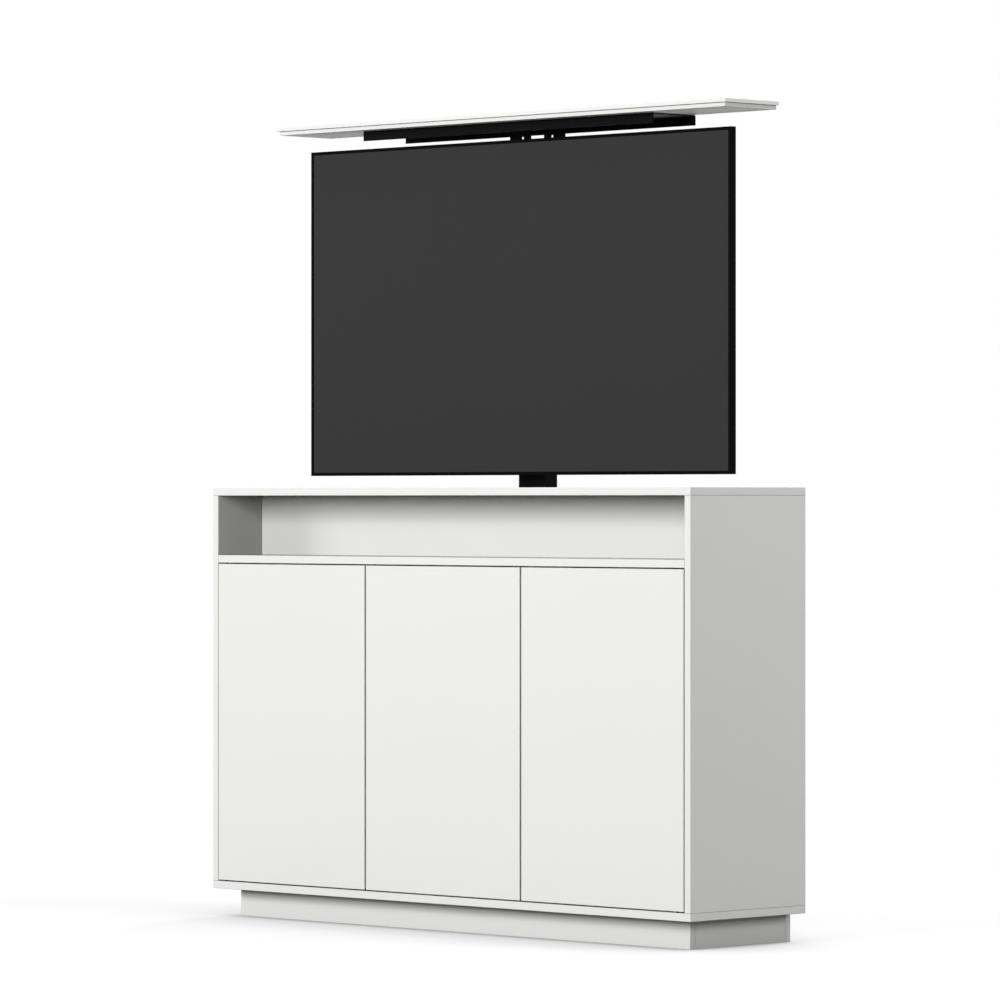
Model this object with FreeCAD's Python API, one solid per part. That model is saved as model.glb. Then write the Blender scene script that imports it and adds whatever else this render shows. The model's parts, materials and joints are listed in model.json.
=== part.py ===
import FreeCAD
import Part
import os

# A sideboard with a motorised television lift, shown with the lift at the top of its
# travel.  Units are millimetres.  +X is to the right, +Y to the back and +Z up; the
# origin is on the floor under the middle of the cabinet's footprint.
# Depths are given from the cabinet's front face and turned into Y by from_front().

Vector = FreeCAD.Vector

# ---- driving dimensions: cabinet -----------------------------------------------------
cabinet_width = 1650.0
cabinet_depth = 400.0
cabinet_height = 1080.0
board = 19.0
arris = 0.8
plinth_height = 70.0
plinth_setback = 51.0
plinth_side_setback = 48.5
niche_height = 150.0
niche_depth = 150.0
back_thickness = 8.0
back_arris = 0.4
batten = 18.0
lift_rail_height = 100.0
lift_rail_drop = 140.0
outlet_radius = 30.0
outlet_x = 470.0
outlet_above_floor = 330.0

# ---- driving dimensions: doors and what is behind them -------------------------------
door_count = 3
door_gap = 5.0
door_left_gap = 1.2
door_right_gap = 3.0
door_top_gap = 3.0
door_bottom_gap = 3.0
pivot_inset = 25.0
pivot_setback = 6.5
pivot_radius = 3.0
pivot_clearance = 0.05
pivot_depth = 12.0
pivot_end_play = 0.3
pivot_foot = 9.0
divider_setback = 38.0
shelf_setback = 42.0
shelf_gap = 1.0
shelves_per_bay = 2
support_size = 12.0
support_sheet = 2.0
latch_size = 16.0
latch_length = 70.0
latch_behind_door = 3.0
latch_inset = 29.5
latch_bevel = 2.5
latch_spring_room = 19.0
plunger_radius = 4.0
plunger_length = 42.0
plunger_clearance = 0.05
plunger_travel = 3.4
plunger_play = 0.3

# ---- driving dimensions: lid ---------------------------------------------------------
lid_side_margin = 55.0
lid_behind_partition = 9.0
lid_behind_column = 24.5
lid_upper_thickness = 9.0
lid_lower_thickness = 10.0
lid_overhang = 6.0
lid_rear_overhang = 3.0
lid_gap = 2.5
ledge_play = 1.0
lid_arris = 0.5
channel_length = 1001.0
channel_height = 24.5
channel_sheet = 3.0
channel_setback = 37.5
channel_rear_reach = 8.5
channel_gap = 2.0
lid_plate_width = 72.0
lid_plate_gap = 46.0
lid_plate_sheet = 2.5
lid_hole_radius = 4.0
lid_hole_offset = 51.0
lid_hole_drop = 32.0
lid_hole_pitch = 25.0
flange_depth = 22.0

# ---- driving dimensions: lift --------------------------------------------------------
stroke = 915.0
column_to_back = 67.5
column_head_room = 152.0
middle_width = 90.0
middle_depth = 45.0
tube_wall = 2.5
stage_gap = 2.5
tube_corner = 1.5
bore_corner = 0.5
stage_step = 4.0
glide_length = 40.0
glide_lip = 2.0
glide_clearance = 0.1
base_plate_thickness = 5.0
base_plate_width = 280.0
plate_arris = 0.5
base_ahead = 55.0
base_behind = 42.0
bracket_half = 85.0
bracket_height = 50.0
bracket_sheet = 4.0
bracket_reach = 5.0
stage_lift = 6.0
gearbox_height = 48.0
gearbox_margin = 6.0
gearbox_bevel = 6.0
motor_radius = 23.0
motor_length = 130.0
motor_flange = 56.0
motor_flange_thickness = 6.0
spindle_radius = 7.0
spindle_depth = 28.0
spindle_end_play = 2.0
spindle_top_gap = 30.0
nut_height = 26.0
nut_clearance = 0.05
head_thickness = 16.0
head_margin = 5.0
head_plug = 20.0
spine_thickness = 5.0
spine_width = 80.0
spine_clearance = 3.5
lid_bar_depth = 20.0
lid_bar_height = 30.0
lid_bar_length = 200.0
lid_bar_wall = 2.0

# ---- driving dimensions: control box and its mains inlet -----------------------------
control_box_left = 400.0
control_box_length = 160.0
control_box_depth = 75.0
control_box_height = 42.0
control_box_to_batten = 6.0
control_box_bevel = 4.0
inlet_width = 27.0
inlet_height = 20.0
inlet_depth = 18.0
inlet_side_wall = 1.5
inlet_rim_wall = 2.0
inlet_floor = 3.0
blade_count = 3
blade_pitch = 7.0
blade_length = 12.0
blade_height = 5.0
blade_thickness = 2.0

# ---- driving dimensions: television and its bracket ----------------------------------
tv_width = 1453.0
tv_height = 823.0
tv_edge_depth = 17.0
tv_bezel = 8.0
tv_side_bezel = 9.5
tv_bezel_arris = 0.5
tv_below_lid = 42.0
tv_ahead_of_column = 86.0
screen_recess = 1.0
screen_thickness = 3.0
display_thickness = 9.0
bulge_width = 1100.0
bulge_height = 560.0
bulge_depth = 15.0
bulge_taper = 20.0
bulge_wall = 3.0
bulge_above_bottom = 20.0
vent_rows = 4
vent_columns = 2
vent_length = 110.0
vent_width = 3.0
vent_pitch_x = 125.0
vent_pitch_z = 10.0
vent_inset_x = 25.0
vent_inset_z = 20.0
port_bay_width = 140.0
port_bay_height = 100.0
port_bay_depth = 11.0
port_bay_inset = 60.0
port_bay_rise = 40.0
port_count = 4
port_width = 16.0
port_height = 7.0
port_depth = 2.0
boss_size = 20.0
bracket_spacing_x = 400.0
bracket_spacing_z = 300.0
bracket_above_bottom = 289.0
hook_rail_width = 30.0
hook_rail_depth = 8.0
hook_rail_sheet = 2.0
hook_rail_length = 440.0
hook_rise = 8.0
hook_drop = 12.0
hook_lip = 4.0
hook_play = 0.3
rail_slot_count = 5
rail_slot_length = 24.0
rail_slot_width = 6.5
crossbar_length = 480.0
crossbar_height = 30.0
crossbar_wall = 2.0

# ---- driving dimensions: screws ------------------------------------------------------
# Each kind is its head across the corners, head height, shank across the corners and
# shank length.
back_screw = (8.0, 3.2, 4.0, 16.0)
back_screw_recess = 0.2
back_screw_rows = 4
back_screw_margin = 60.0
bracket_screw = (10.0, 3.0, 5.0, 14.0)
bracket_screw_inset = 12.0
base_screw = (12.0, 3.5, 6.0, 17.0)
base_screw_inset = 12.0
head_screw = (12.0, 3.0, 6.0, 16.0)
head_screw_spread = 50.0
lid_plate_screw = (10.0, 3.0, 5.0, lid_plate_sheet + lid_bar_wall)
lid_plate_screw_inset = 12.0
flange_screw = (9.0, 2.5, 4.0, 12.0)
flange_screw_inset = 14.0
flange_screw_depth = 12.0
channel_screw = (9.0, 2.5, 4.0, 10.0)
channel_screw_pairs = 2
channel_screw_margin = 150.0
channel_screw_inset = 30.0
spine_bolt = (12.0, 2.0, 6.0, spine_thickness + crossbar_wall)
spine_bolt_spread = 56.0
spine_tail = 10.0
television_bolt = (12.0, 3.5, 6.0, 12.0)
television_bolt_drop = 26.0

# ---- worked out from the driving dimensions ------------------------------------------
half_width = cabinet_width / 2
inner_half = half_width - board
bottom_top = plinth_height + board
top_under = cabinet_height - board
niche_floor_top = top_under - niche_height
niche_floor_under = niche_floor_top - board
partition_front = niche_depth
latch_front = board + latch_behind_door
partition_back = niche_depth + board
back_inside = cabinet_depth - back_thickness
batten_front = back_inside - batten
lift_rail_top = cabinet_height - lift_rail_drop
lift_rail_middle = lift_rail_top - lift_rail_height / 2

lid_top = cabinet_height + stroke
lid_seam = lid_top - lid_upper_thickness
lid_under = lid_seam - lid_lower_thickness
lid_half = half_width - lid_side_margin
column_mid = cabinet_depth - column_to_back
lid_front = partition_back + lid_behind_partition
lid_back = column_mid + lid_behind_column
channel_front = lid_front + channel_setback
channel_back = lid_back + channel_rear_reach
channel_under = lid_under - channel_height
web_under = lid_under - channel_sheet

step = 2 * (tube_wall + stage_gap)
outer_width = middle_width + step
outer_depth = middle_depth + step
inner_width = middle_width - step
inner_depth = middle_depth - step
glide_corner = tube_corner / 2
base_front = column_mid - base_ahead
base_back = column_mid + base_behind
base_top = bottom_top + base_plate_thickness
gearbox_top = base_top + gearbox_height
outer_top = cabinet_height - column_head_room
middle_top = outer_top + stage_step + stroke / 2
middle_bottom = gearbox_top + stage_lift + stroke / 2
inner_top = outer_top + 2 * stage_step + stroke
inner_bottom = gearbox_top + stage_lift + nut_height + stage_step + stroke
head_top = inner_top + head_thickness
lid_bar_back = column_mid + lid_bar_depth
lid_plate_front = column_mid - lid_plate_sheet
bracket_z = lift_rail_middle - bracket_height / 2
spine_back = column_mid - outer_depth / 2 - spine_clearance
spine_front = spine_back - spine_thickness

tv_front = column_mid - tv_ahead_of_column
tv_back = tv_front + tv_edge_depth
glass_front = tv_front + screen_recess
glass_back = glass_front + screen_thickness
module_back = glass_back + display_thickness
tv_top = lid_under - tv_below_lid
tv_bottom = tv_top - tv_height
bulge_back = tv_back + bulge_depth
bulge_middle = tv_bottom + bulge_above_bottom + bulge_height / 2
crown_half = bulge_width / 2 - bulge_taper
crown_bottom = bulge_middle - bulge_height / 2 + bulge_taper
crown_top = bulge_middle + bulge_height / 2 - bulge_taper
rail_back = bulge_back + hook_rail_depth
bracket_low = tv_bottom + bracket_above_bottom - bracket_spacing_z / 2
bracket_high = bracket_low + bracket_spacing_z

os.makedirs("parts", exist_ok=True)


# ---- helpers -------------------------------------------------------------------------
def from_front(depth):
    """Y of a point that lies this far behind the cabinet's front face."""
    return depth - cabinet_depth / 2


def block(x0, x1, depth0, depth1, z0, z1):
    """A plain box, its depths measured from the cabinet's front face."""
    corner = Vector(x0, from_front(depth0), z0)
    return Part.makeBox(x1 - x0, depth1 - depth0, z1 - z0, corner)


def panel(x0, x1, depth0, depth1, z0, z1, edge=arris):
    """A board with its sharp edges broken."""
    plain = block(x0, x1, depth0, depth1, z0, z1)
    return plain.makeChamfer(edge, plain.Edges)


def upright_edges(shape):
    return [edge for edge in shape.Edges if abs(edge.tangentAt(0).z) > 0.9]


def post(width, depth, z0, z1):
    """An upright bar with sharp corners on the lift column's centre line."""
    return block(-width / 2, width / 2, column_mid - depth / 2, column_mid + depth / 2, z0, z1)


def rounded_post(width, depth, z0, z1, corner):
    plain = post(width, depth, z0, z1)
    return plain.makeFillet(corner, upright_edges(plain))


def bevelled_post(width, depth, z0, z1, corner):
    plain = post(width, depth, z0, z1)
    return plain.makeChamfer(corner, upright_edges(plain))


def tube(width, depth, z0, z1):
    """One stage of the telescopic column."""
    outside = rounded_post(width, depth, z0, z1, tube_corner)
    inside = bevelled_post(width - 2 * tube_wall, depth - 2 * tube_wall, z0, z1, bore_corner)
    return outside.cut(inside)


def rod(radius, start, direction, length):
    """A round bar; start is (x, depth, z) and direction a unit vector."""
    x, depth, z = start
    return Part.makeCylinder(radius, length, Vector(x, from_front(depth), z), Vector(*direction))


def six_sided(across_corners, start, direction, length):
    """A hexagonal bar; start is (x, depth, z) and direction a unit vector."""
    x, depth, z = start
    axis = Vector(*direction)
    arm = Vector(0, 0, across_corners / 2)
    if abs(axis.z) > 0.5:
        arm = Vector(across_corners / 2, 0, 0)
    centre = Vector(x, from_front(depth), z)
    corners = [centre + FreeCAD.Rotation(axis, 60.0 * turn).multVec(arm) for turn in range(6)]
    outline = Part.makePolygon(corners + corners[:1])
    return Part.Face(outline).extrude(axis * length)


def screw(start, direction, kind):
    """A hexagon-head screw seated at start, its head standing out along direction.

    The shank has six sides too, so that a row of screws stays light.
    """
    head_size, head_height, shank_size, shank_length = kind
    inward = [-part for part in direction]
    head = six_sided(head_size, start, direction, head_height)
    shank = six_sided(shank_size, start, inward, shank_length)
    return head.fuse(shank).removeSplitter()


def drilled(shape, fasteners):
    """The shape with a hole for each fastener that enters it."""
    return shape.cut(Part.makeCompound(fasteners))


def save(name, *solids):
    """Write one node's solids to its own STEP file."""
    shape = solids[0] if len(solids) == 1 else Part.makeCompound(list(solids))
    shape.exportStep("parts/" + name + ".step")


# ---- plinth --------------------------------------------------------------------------
def make_plinth():
    half = half_width - plinth_side_setback
    inside_back = cabinet_depth - board
    inside_front = plinth_setback + board
    save("plinth_front", panel(-half, half, plinth_setback, inside_front, 0, plinth_height))
    save("plinth_back", panel(-half, half, inside_back, cabinet_depth, 0, plinth_height))
    for name, x0 in (("plinth_side_left", -half), ("plinth_side_right", half - board)):
        save(name, panel(x0, x0 + board, inside_front, inside_back, 0, plinth_height))
    rib_half = board / 2
    save("plinth_rib", block(-rib_half, rib_half, inside_front, inside_back, 0, plinth_height))


# ---- door positions and pivots -------------------------------------------------------
def door_layout():
    """For each door: its name, left and right edge, and the side that it is hinged on."""
    bay = (cabinet_width - 2 * board) / door_count
    names = ("left", "middle", "right")
    sides = (-1, -1, 1)
    layout = []
    for index in range(door_count):
        x0 = -inner_half + index * bay + door_gap / 2
        x1 = x0 + bay - door_gap
        if index == 0:
            x0 = -inner_half + door_left_gap
        if index == door_count - 1:
            x1 = inner_half - door_right_gap
        layout.append((names[index], x0, x1, sides[index]))
    return layout


def divider_centres():
    bay = (cabinet_width - 2 * board) / door_count
    return [-inner_half + bay * index for index in range(1, door_count)]


door_bottom = bottom_top + door_bottom_gap
door_top = niche_floor_under - door_top_gap


def pivot_x(door):
    name, x0, x1, side = door
    return x0 + pivot_inset if side < 0 else x1 - pivot_inset


def latch_x(door):
    name, x0, x1, side = door
    return x1 - latch_inset if side < 0 else x0 + latch_inset


def pivot_pin(x, seat, toward, gap, rise):
    """A pin whose six-sided foot is pressed into a board at height seat.

    The round end reaches across the gap into a door.  The foot of a lower pin rises out
    of its board, and the door stands on it.
    """
    foot_start = (x, pivot_setback, seat - toward * pivot_depth)
    foot = six_sided(pivot_foot, foot_start, (0, 0, toward), pivot_depth + rise)
    pin = rod(pivot_radius, (x, pivot_setback, seat), (0, 0, toward), gap + pivot_depth)
    return foot.fuse(pin).removeSplitter()


def lower_pins():
    rise = door_bottom_gap - pivot_end_play
    return [pivot_pin(pivot_x(door), bottom_top, 1, door_bottom_gap, rise)
            for door in door_layout()]


def upper_pins():
    return [pivot_pin(pivot_x(door), niche_floor_under, -1, door_top_gap, 0)
            for door in door_layout()]


# ---- shelves and their supports ------------------------------------------------------
def bays():
    """The clear left and right side of each storage bay, with its name."""
    centres = divider_centres()
    lefts = [-inner_half] + [x + board / 2 for x in centres]
    rights = [x - board / 2 for x in centres] + [inner_half]
    return list(zip(("left", "middle", "right"), lefts, rights))


def shelf_levels():
    clear = niche_floor_under - bottom_top
    pitch = clear / (shelves_per_bay + 1)
    return [bottom_top + pitch * number for number in range(1, shelves_per_bay + 1)]


def shelf_support(x_wall, side, depth, level):
    """A small steel angle on a wall at x_wall, under a shelf; side points into the bay."""
    depth0 = depth - support_size / 2
    depth1 = depth + support_size / 2
    x_far = x_wall + side * support_size
    x_leaf = x_wall + side * support_sheet
    shelf_leaf = block(min(x_wall, x_far), max(x_wall, x_far), depth0, depth1,
                       level - support_sheet, level)
    wall_leaf = block(min(x_wall, x_leaf), max(x_wall, x_leaf), depth0, depth1,
                      level - support_size, level - support_sheet)
    return shelf_leaf.fuse(wall_leaf).removeSplitter()


def shelf_supports():
    supports = []
    for name, x0, x1 in bays():
        for level in shelf_levels():
            for depth in (shelf_setback + support_size, niche_depth - 2 * support_size):
                supports.append(shelf_support(x0, 1, depth, level))
                supports.append(shelf_support(x1, -1, depth, level))
    return supports


def make_shelves():
    back = niche_depth - shelf_gap
    for name, x0, x1 in bays():
        shelves = []
        for level in shelf_levels():
            x_left = x0 + shelf_gap
            x_right = x1 - shelf_gap
            shelves.append(panel(x_left, x_right, shelf_setback, back, level, level + board))
        save("shelves_" + name, *shelves)
    save("shelf_supports", *shelf_supports())


# ---- screws that hold the back, the lift rail bracket and the lift base --------------
def back_screws():
    seat = cabinet_depth - back_screw_recess - back_screw[1]
    pitch = (top_under - bottom_top - 2 * back_screw_margin) / (back_screw_rows - 1)
    places = []
    for row in range(back_screw_rows):
        for x in (-inner_half + batten / 2, inner_half - batten / 2):
            places.append((x, bottom_top + back_screw_margin + row * pitch))
    for x in (-inner_half / 2, 0.0, inner_half / 2):
        places.append((x, lift_rail_middle))
    return [screw((x, seat, z), (0, 1, 0), back_screw) for x, z in places]


def bracket_screws():
    reach = bracket_half - bracket_screw_inset
    low = bracket_z + bracket_screw_inset
    high = bracket_z + bracket_height - bracket_screw_inset
    seat = batten_front - bracket_sheet
    return [screw((x, seat, z), (0, -1, 0), bracket_screw)
            for x in (-reach, reach) for z in (low, high)]


def base_screws():
    reach = base_plate_width / 2 - base_screw_inset
    depths = (base_front + base_screw_inset, base_back - base_screw_inset)
    return [screw((x, depth, base_top), (0, 0, 1), base_screw)
            for x in (-reach, reach) for depth in depths]


# ---- cabinet boards ------------------------------------------------------------------
def make_carcass():
    low_pins = lower_pins()
    high_pins = upper_pins()
    bottom = panel(-half_width, half_width, 0, cabinet_depth, plinth_height, bottom_top)
    save("bottom_panel", drilled(bottom, low_pins + base_screws()))

    for name, x0 in (("side_panel_left", -half_width), ("side_panel_right", inner_half)):
        save(name, panel(x0, x0 + board, 0, cabinet_depth, bottom_top, top_under))
    for name, x in zip(("divider_left", "divider_right"), divider_centres()):
        x0 = x - board / 2
        divider = panel(x0, x0 + board, divider_setback, niche_depth,
                        bottom_top, niche_floor_under)
        save(name, divider)

    floor = panel(-inner_half, inner_half, 0, niche_depth, niche_floor_under, niche_floor_top)
    save("niche_floor", drilled(floor, high_pins))
    wall = block(-inner_half, inner_half, partition_front, partition_back, bottom_top, top_under)
    save("partition_panel", wall)
    save("door_pivot_pins", *(low_pins + high_pins))


def make_top():
    """The top board, with a stepped opening that the lid drops into."""
    top = panel(-half_width, half_width, 0, cabinet_depth, top_under, cabinet_height)
    through_half = lid_half + lid_gap
    through_back = channel_back + channel_gap
    through = block(-through_half, through_half, lid_front - lid_gap, through_back,
                    top_under - 1, cabinet_height + 1)
    seat_half = through_half + lid_overhang
    seat_front = lid_front - lid_overhang - lid_gap
    seat_back = lid_back + lid_rear_overhang + lid_gap
    seat_z = cabinet_height - lid_upper_thickness - ledge_play
    seat = block(-seat_half, seat_half, seat_front, seat_back, seat_z, cabinet_height + 1)
    save("top_panel", top.cut(through.fuse(seat)))


def make_back():
    screws = back_screws()
    rear = panel(-inner_half, inner_half, back_inside, cabinet_depth, bottom_top, top_under,
                 back_arris)
    z = bottom_top + outlet_above_floor
    hole = rod(outlet_radius, (outlet_x, back_inside - 1, z), (0, 1, 0), back_thickness + 2)
    save("back_panel", drilled(rear.cut(hole), screws))

    battens = []
    for x0 in (-inner_half, inner_half - batten):
        strip = block(x0, x0 + batten, batten_front, back_inside, bottom_top, top_under)
        battens.append(drilled(strip, screws))
    save("back_battens", *battens)

    half = inner_half - batten
    rail = block(-half, half, batten_front, back_inside, lift_rail_top - lift_rail_height,
                 lift_rail_top)
    save("lift_rail", drilled(rail, screws + bracket_screws()))
    save("carcass_screws", *(screws + bracket_screws() + base_screws()))


# ---- doors ---------------------------------------------------------------------------
def make_doors():
    hole_radius = pivot_radius + pivot_clearance
    for door in door_layout():
        name, x0, x1, side = door
        leaf = panel(x0, x1, 0, board, door_bottom, door_top)
        depth = pivot_depth + 1.0
        low = rod(hole_radius, (pivot_x(door), pivot_setback, door_bottom), (0, 0, 1), depth)
        high = rod(hole_radius, (pivot_x(door), pivot_setback, door_top), (0, 0, -1), depth)
        save("door_" + name, leaf.cut(low).cut(high))


def make_latches():
    """Push latches under the niche floor: press the door and the plunger lets it go."""
    housings = []
    middle = niche_floor_under - latch_size / 2
    bore_radius = plunger_radius + plunger_clearance
    for door in door_layout():
        x = latch_x(door)
        half = latch_size / 2
        z0 = niche_floor_under - latch_size
        body = block(x - half, x + half, latch_front, latch_front + latch_length,
                     z0, niche_floor_under)
        along = [edge for edge in body.Edges if abs(edge.tangentAt(0).y) > 0.9]
        low = [edge for edge in along if edge.CenterOfMass.z < middle]
        body = body.makeChamfer(latch_bevel, low)
        tip = board + plunger_play
        bore_end = tip + plunger_length + plunger_travel + latch_spring_room
        bore = rod(bore_radius, (x, tip, middle), (0, 1, 0), bore_end - tip)
        housings.append(body.cut(bore))
        plunger = rod(plunger_radius, (x, tip, middle), (0, 1, 0), plunger_length)
        save("latch_plunger_" + door[0], plunger)
    save("latch_housings", *housings)


# ---- lift: fixed part ----------------------------------------------------------------
def make_lift_base():
    half = base_plate_width / 2
    plate = panel(-half, half, base_front, base_back, bottom_top, base_top, plate_arris)
    save("lift_base_plate", drilled(plate, base_screws()))

    box_width = outer_width + 2 * gearbox_margin
    box_depth = outer_depth + 2 * gearbox_margin
    gearbox = bevelled_post(box_width, box_depth, base_top, gearbox_top, gearbox_bevel)
    socket = rod(spindle_radius + nut_clearance, (0, column_mid, gearbox_top), (0, 0, -1),
                 spindle_depth + spindle_end_play)
    save("gearbox", gearbox.cut(socket))

    middle = base_top + gearbox_height / 2
    side = box_width / 2
    flange_half = min(motor_flange, gearbox_height) / 2
    flange = block(side, side + motor_flange_thickness, column_mid - motor_flange / 2,
                   column_mid + motor_flange / 2, middle - flange_half, middle + flange_half)
    motor = rod(motor_radius, (side, column_mid, middle), (1, 0, 0), motor_length)
    save("drive_motor", flange.fuse(motor).removeSplitter())

    save("outer_column", tube(outer_width, outer_depth, gearbox_top, outer_top))
    sleeve_w = outer_width - 2 * tube_wall
    sleeve_d = outer_depth - 2 * tube_wall
    hole_w = middle_width + 2 * glide_clearance
    hole_d = middle_depth + 2 * glide_clearance
    save("outer_glide", stage_glide(sleeve_w, sleeve_d, hole_w, hole_d, outer_top,
                                    outer_width, outer_depth))


def stage_glide(sleeve_w, sleeve_d, hole_w, hole_d, top, lip_w, lip_d):
    """A plastic collar in a tube's mouth, with a lip that covers the tube's rim."""
    sleeve = bevelled_post(sleeve_w, sleeve_d, top - glide_length, top, bore_corner)
    lip = bevelled_post(lip_w, lip_d, top, top + glide_lip, tube_corner)
    hole = bevelled_post(hole_w, hole_d, top - glide_length, top + glide_lip, glide_corner)
    return sleeve.fuse(lip).cut(hole).removeSplitter()


def foot_glide(outer_w, outer_d, tube_w, tube_d, bottom):
    """A plastic collar fixed round the foot of a stage, that runs inside the next tube."""
    outside = bevelled_post(outer_w, outer_d, bottom, bottom + glide_length, tube_corner)
    return outside.cut(bevelled_post(tube_w, tube_d, bottom, bottom + glide_length, glide_corner))


def make_bracket():
    """The clamp that ties the outer column back to the lift rail."""
    half = outer_width / 2 + bracket_sheet
    front = column_mid - bracket_reach
    z1 = bracket_z + bracket_height
    shell = block(-half, half, front, batten_front, bracket_z, z1)
    wings = block(-bracket_half, bracket_half, batten_front - bracket_sheet, batten_front,
                  bracket_z, z1)
    column_back = column_mid + outer_depth / 2
    pocket = block(-half + bracket_sheet, half - bracket_sheet, column_back + bracket_sheet,
                   batten_front - bracket_sheet, bracket_z, z1)
    column = rounded_post(outer_width, outer_depth, bracket_z, z1, tube_corner)
    bracket = shell.fuse(wings).cut(pocket).cut(column).removeSplitter()
    save("column_bracket", drilled(bracket, bracket_screws()))


def make_control_box():
    """The drive's control box on the cabinet floor, with a recessed inlet in its side."""
    right = control_box_left + control_box_length
    back = batten_front - control_box_to_batten
    case = block(control_box_left, right, back - control_box_depth, back, bottom_top,
                 bottom_top + control_box_height)
    edges = [edge for edge in case.Edges if edge.CenterOfMass.z > bottom_top + arris]
    case = case.makeChamfer(control_box_bevel, edges)

    depth0 = back - control_box_depth / 2 - inlet_width / 2
    depth1 = depth0 + inlet_width
    z0 = bottom_top + control_box_height / 2 - inlet_height / 2
    z1 = z0 + inlet_height
    opening = block(right - inlet_depth, right, depth0, depth1, z0, z1)
    save("control_box", case.cut(opening))

    recess_floor = right - inlet_depth + inlet_floor
    recess = block(recess_floor, right, depth0 + inlet_side_wall, depth1 - inlet_side_wall,
                   z0 + inlet_rim_wall, z1 - inlet_rim_wall)
    shell = opening.cut(recess)
    middle_depth0 = (depth0 + depth1) / 2 - blade_thickness / 2
    middle_z = (z0 + z1) / 2
    for number in range(blade_count):
        offset = (number - (blade_count - 1) / 2) * blade_pitch
        blade = block(recess_floor, recess_floor + blade_length, middle_depth0 + offset,
                      middle_depth0 + offset + blade_thickness, middle_z - blade_height / 2,
                      middle_z + blade_height / 2)
        shell = shell.fuse(blade)
    save("power_inlet", shell.removeSplitter())


# ---- lift: middle stage and spindle --------------------------------------------------
def make_middle_stage():
    save("middle_column", tube(middle_width, middle_depth, middle_bottom, middle_top))
    sleeve_w = middle_width - 2 * tube_wall
    sleeve_d = middle_depth - 2 * tube_wall
    hole_w = inner_width + 2 * glide_clearance
    hole_d = inner_depth + 2 * glide_clearance
    upper = stage_glide(sleeve_w, sleeve_d, hole_w, hole_d, middle_top, middle_width, middle_depth)
    running_w = outer_width - 2 * tube_wall - 2 * glide_clearance
    running_d = outer_depth - 2 * tube_wall - 2 * glide_clearance
    lower = foot_glide(running_w, running_d, middle_width, middle_depth, middle_bottom)
    save("middle_glides", upper, lower)

    nut = bevelled_post(sleeve_w, sleeve_d, middle_bottom, middle_bottom + nut_height, bore_corner)
    thread = rod(spindle_radius + nut_clearance, (0, column_mid, middle_bottom), (0, 0, 1), nut_height)
    save("spindle_nut", nut.cut(thread))

    foot = gearbox_top - spindle_depth
    length = outer_top - spindle_top_gap - foot
    save("spindle", rod(spindle_radius, (0, column_mid, foot), (0, 0, 1), length))


# ---- lift: inner stage, head and lid carrier -----------------------------------------
def head_screws():
    z = inner_top + head_thickness / 2
    return [screw((x, spine_front, z), (0, -1, 0), head_screw)
            for x in (-head_screw_spread / 2, head_screw_spread / 2)]


def lid_plate_rows(inset):
    """The x of the two screws in each lid plate, this far from the plate's sides."""
    near = lid_plate_gap / 2 + inset
    far = lid_plate_gap / 2 + lid_plate_width - inset
    return (-far, -near, near, far)


def lid_plate_screws():
    z = head_top + lid_bar_height / 2
    return [screw((x, lid_plate_front, z), (0, -1, 0), lid_plate_screw)
            for x in lid_plate_rows(lid_plate_screw_inset)]


def flange_screws():
    z = web_under - lid_plate_sheet
    return [screw((x, column_mid + flange_screw_depth, z), (0, 0, -1), flange_screw)
            for x in lid_plate_rows(flange_screw_inset)]


def channel_screws():
    """Pairs of screws each side of the lid plates, in two rows along the channel."""
    screws = []
    reach = channel_length / 2 - channel_screw_margin
    for depth in (channel_front + channel_screw_inset, channel_back - channel_screw_inset):
        for number in range(channel_screw_pairs):
            x = reach * (number + 1) / channel_screw_pairs
            for side in (-1, 1):
                screws.append(screw((side * x, depth, web_under), (0, 0, -1), channel_screw))
    return screws


def make_head():
    save("inner_column", tube(inner_width, inner_depth, inner_bottom, inner_top))
    running_w = middle_width - 2 * tube_wall - 2 * glide_clearance
    running_d = middle_depth - 2 * tube_wall - 2 * glide_clearance
    save("inner_glide", foot_glide(running_w, running_d, inner_width, inner_depth, inner_bottom))

    bolts = head_screws()
    half = inner_width / 2 + head_margin
    head = block(-half, half, spine_back, lid_bar_back, inner_top, head_top)
    plug = bevelled_post(inner_width - 2 * tube_wall, inner_depth - 2 * tube_wall,
                         inner_top - head_plug, inner_top, bore_corner)
    save("head_block", drilled(head.fuse(plug).removeSplitter(), bolts))

    plate_bolts = lid_plate_screws()
    wall = lid_bar_wall
    z1 = head_top + lid_bar_height
    bar_half = lid_bar_length / 2
    bar = block(-bar_half, bar_half, column_mid, lid_bar_back, head_top, z1)
    hollow = block(-bar_half, bar_half, column_mid + wall, lid_bar_back - wall,
                   head_top + wall, z1 - wall)
    save("lid_bar", drilled(bar.cut(hollow), plate_bolts))

    for name, side in (("lid_plate_left", -1), ("lid_plate_right", 1)):
        save(name, lid_plate(side, plate_bolts + flange_screws()))


def lid_plate(side, fasteners):
    """A bent plate that hangs the lid channel on the head bar, with adjusting holes."""
    inner = lid_plate_gap / 2
    x0 = min(side * inner, side * (inner + lid_plate_width))
    x1 = x0 + lid_plate_width
    z0 = head_top + lid_bar_wall
    upright = block(x0, x1, lid_plate_front, column_mid, z0, web_under)
    flange = block(x0, x1, column_mid, column_mid + flange_depth,
                   web_under - lid_plate_sheet, web_under)
    plate = upright.fuse(flange).removeSplitter()
    for number in range(2):
        z = lid_under - lid_hole_drop - number * lid_hole_pitch
        start = (side * lid_hole_offset, lid_plate_front - 1, z)
        plate = plate.cut(rod(lid_hole_radius, start, (0, 1, 0), lid_plate_sheet + 2))
    return drilled(plate, fasteners)


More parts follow.
